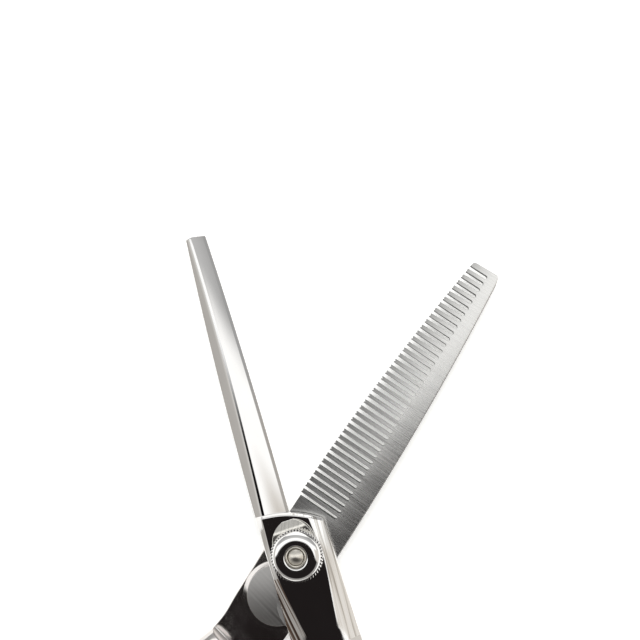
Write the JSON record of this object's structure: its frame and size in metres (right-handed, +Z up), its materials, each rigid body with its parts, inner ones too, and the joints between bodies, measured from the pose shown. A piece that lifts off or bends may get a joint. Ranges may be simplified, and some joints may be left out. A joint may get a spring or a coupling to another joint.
{
  "type": "thinning shears",
  "caption": "Hair-thinning shears with a polished straight blade, a notched comb blade, a domed tension dial, two finger rings, a rubber stop and a hooked finger rest.",
  "frame": {"origin": "on the pivot axis, at the flat underside of the pivot screw's head, which the shears lie on", "axes": "+Y along the straight blade from the pivot to its tip; +Z up along the pivot, towards the tension dial; the comb blade opens towards +X"},
  "size_m": [0.1289, 0.1587, 0.0092],
  "materials": {
    "polished_steel": "mirror-polished stainless steel",
    "brushed_steel": "satin stainless steel, ground across the blade",
    "bright_steel": "turned bright steel",
    "dial_chrome": "chrome-plated, with a fine knurl on the dial",
    "bearing_brass": "turned bronze",
    "nylon": "natural nylon",
    "black_rubber": "moulded rubber"
  },
  "bodies": {
    "straight_side": {"straight_blade": "polished_steel", "pivot_screw": "bright_steel", "glide_washer": "nylon", "spring_seat": "bearing_brass", "leaf_spring": "dial_chrome", "finger_rest": "polished_steel", "rest_washer": "bright_steel"},
    "comb_side": {"comb_blade": "brushed_steel", "pivot_bush": "bearing_brass", "bearing_race": "bright_steel", "bumper": "black_rubber"},
    "bearing_cage": {"bearing_retainer": "bearing_brass", "bearing_ball_1": "bright_steel", "bearing_ball_2": "bright_steel", "bearing_ball_3": "bright_steel", "bearing_ball_4": "bright_steel", "bearing_ball_5": "bright_steel", "bearing_ball_6": "bright_steel", "bearing_ball_7": "bright_steel", "bearing_ball_8": "bright_steel"},
    "dial": {"tension_dial": "dial_chrome", "dial_collar": "dial_chrome"}
  },
  "joints": [
    {"name": "comb_swing", "type": "hinge", "parent": "straight_side", "child": "comb_side", "pos_m": [0, 0, 0.003], "axis": [0, 0, 1], "range_deg": [-30, 52.9]},
    {"name": "cage_turn", "type": "hinge", "parent": "straight_side", "child": "bearing_cage", "pos_m": [0, 0, 0.00124], "axis": [0, 0, 1], "range_deg": [-15, 26.45]},
    {"name": "dial_turn", "type": "hinge", "parent": "straight_side", "child": "dial", "pos_m": [0, 0, 0.0075], "axis": [0, 0, 1], "range_deg": [-90, 90]}
  ],
  "couplings": [
    {"joint": "cage_turn", "follows": "comb_swing", "ratio": 0.5}
  ]
}
